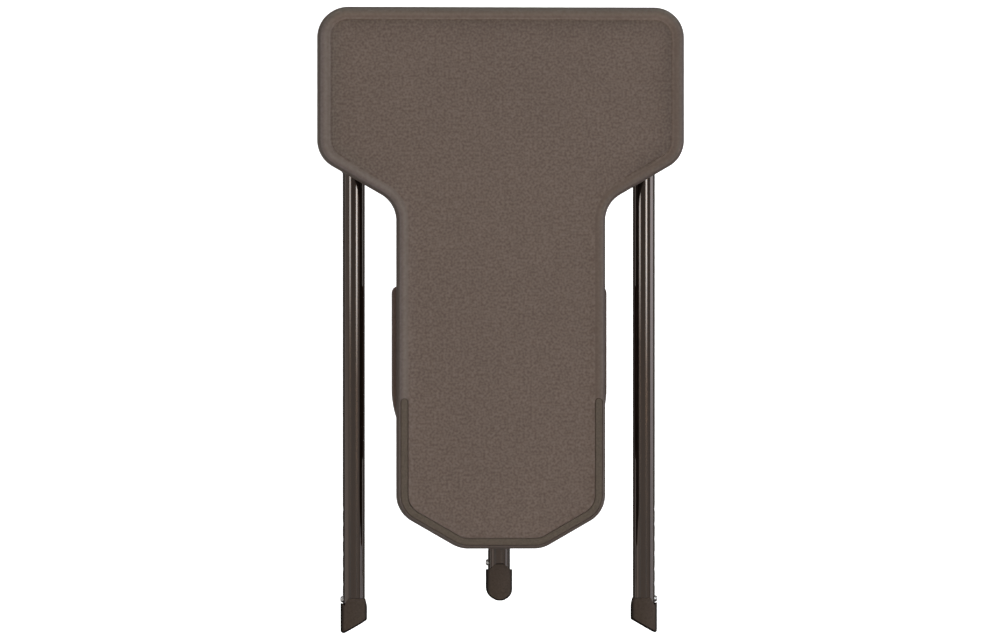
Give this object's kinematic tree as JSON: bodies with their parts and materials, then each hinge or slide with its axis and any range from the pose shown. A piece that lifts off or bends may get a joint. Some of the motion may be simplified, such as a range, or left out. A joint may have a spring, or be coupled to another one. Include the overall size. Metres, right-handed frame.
{
  "type": "shower stool",
  "caption": "Folding shower stool with a T-shaped brown seat and bronze tube legs that fold flat beneath it, telescope, and lock with snap buttons.",
  "frame": {"origin": "middle of the folded stool's footprint, on the surface that it lies on", "axes": "+Z up through the seat, +Y towards the wide end of the seat, +X to the right seen from above with +Y up"},
  "size_m": [0.366, 0.6247, 0.05],
  "materials": {
    "seat_plastic": "fine matte grain",
    "pan_plastic": "matte",
    "grip_plastic": "satin",
    "inlay_rubber": "matte",
    "bronze_tube": "glossy bronze anodised",
    "raw_aluminium": "satin",
    "bracket_steel": "satin",
    "zinc_steel": "zinc plated",
    "button_steel": "polished",
    "black_nylon": "satin",
    "white_nylon": "matte",
    "foot_rubber": "matte",
    "black_rubber": "matte"
  },
  "bodies": {
    "seat": {"seat_shell": "seat_plastic", "seat_underpan": "pan_plastic", "stiffener_plate": "raw_aluminium", "tongue_inlay": "inlay_rubber", "left_grip": "grip_plastic", "right_grip": "grip_plastic", "pan_screws": "zinc_steel", "grip_screws": "zinc_steel", "bracket_screws": "zinc_steel", "leg_rest_pads": "black_rubber", "left_hinge_bracket": "bracket_steel", "right_hinge_bracket": "bracket_steel", "centre_hinge_bracket": "bracket_steel", "left_hinge_pin": "zinc_steel", "right_hinge_pin": "zinc_steel", "centre_hinge_pin": "zinc_steel", "hinge_washers": "white_nylon", "lock_housing": "zinc_steel", "lock_spring": "zinc_steel"},
    "left_upper": {"left_knuckle": "black_nylon", "left_knuckle_pins": "zinc_steel", "left_upper_tube": "raw_aluminium", "left_button_spring": "zinc_steel"},
    "left_lower": {"left_lower_tube": "bronze_tube", "left_glide_collar": "black_nylon", "left_foot": "foot_rubber", "left_foot_washer": "zinc_steel"},
    "left_button": {"left_snap_button": "button_steel"},
    "right_upper": {"right_knuckle": "black_nylon", "right_knuckle_pins": "zinc_steel", "right_upper_tube": "raw_aluminium", "right_button_spring": "zinc_steel"},
    "right_lower": {"right_lower_tube": "bronze_tube", "right_glide_collar": "black_nylon", "right_foot": "foot_rubber", "right_foot_washer": "zinc_steel"},
    "right_button": {"right_snap_button": "button_steel"},
    "centre_upper": {"centre_knuckle": "black_nylon", "centre_knuckle_pins": "zinc_steel", "centre_upper_tube": "raw_aluminium", "centre_button_spring": "zinc_steel"},
    "centre_lower": {"centre_lower_tube": "bronze_tube", "centre_glide_collar": "black_nylon", "centre_foot": "foot_rubber", "centre_foot_washer": "zinc_steel"},
    "centre_button": {"centre_snap_button": "button_steel"},
    "lock": {"lock_plunger": "black_nylon"}
  },
  "joints": [
    {"name": "left_fold", "type": "hinge", "parent": "seat", "child": "left_upper", "pos_m": [-0.1455, 0.18, 0.01325], "axis": [0.8944, 0, -0.4472], "range_deg": [0, 104.48]},
    {"name": "left_extend", "type": "slide", "parent": "left_upper", "child": "left_lower", "axis": [0, -1, 0], "range_m": [0, 0.09]},
    {"name": "left_snap", "type": "slide", "parent": "left_upper", "child": "left_button", "axis": [1, 0, 0], "range_m": [0, 0.0037], "stiffness_N_per_m": 1500, "springref_m": -0.002, "deforming": ["left_button_spring"]},
    {"name": "right_fold", "type": "hinge", "parent": "seat", "child": "right_upper", "pos_m": [0.1455, 0.18, 0.01325], "axis": [0.8944, 0, 0.4472], "range_deg": [0, 104.48]},
    {"name": "right_extend", "type": "slide", "parent": "right_upper", "child": "right_lower", "axis": [0, -1, 0], "range_m": [0, 0.09]},
    {"name": "right_snap", "type": "slide", "parent": "right_upper", "child": "right_button", "axis": [-1, 0, 0], "range_m": [0, 0.0037], "stiffness_N_per_m": 1500, "springref_m": -0.002, "deforming": ["right_button_spring"]},
    {"name": "centre_fold", "type": "hinge", "parent": "seat", "child": "centre_upper", "pos_m": [0, 0.2817, 0.01325], "axis": [1, 0, 0], "range_deg": [0, 50]},
    {"name": "centre_extend", "type": "slide", "parent": "centre_upper", "child": "centre_lower", "axis": [0, -1, 0], "range_m": [0, 0.09]},
    {"name": "centre_snap", "type": "slide", "parent": "centre_upper", "child": "centre_button", "axis": [1, 0, 0], "range_m": [0, 0.0037], "stiffness_N_per_m": 1500, "springref_m": -0.002, "deforming": ["centre_button_spring"]},
    {"name": "lock_pull", "type": "slide", "parent": "seat", "child": "lock", "axis": [1, 0, 0], "range_m": [0, 0.005], "stiffness_N_per_m": 1200, "springref_m": -0.002, "deforming": ["lock_spring"]}
  ]
}
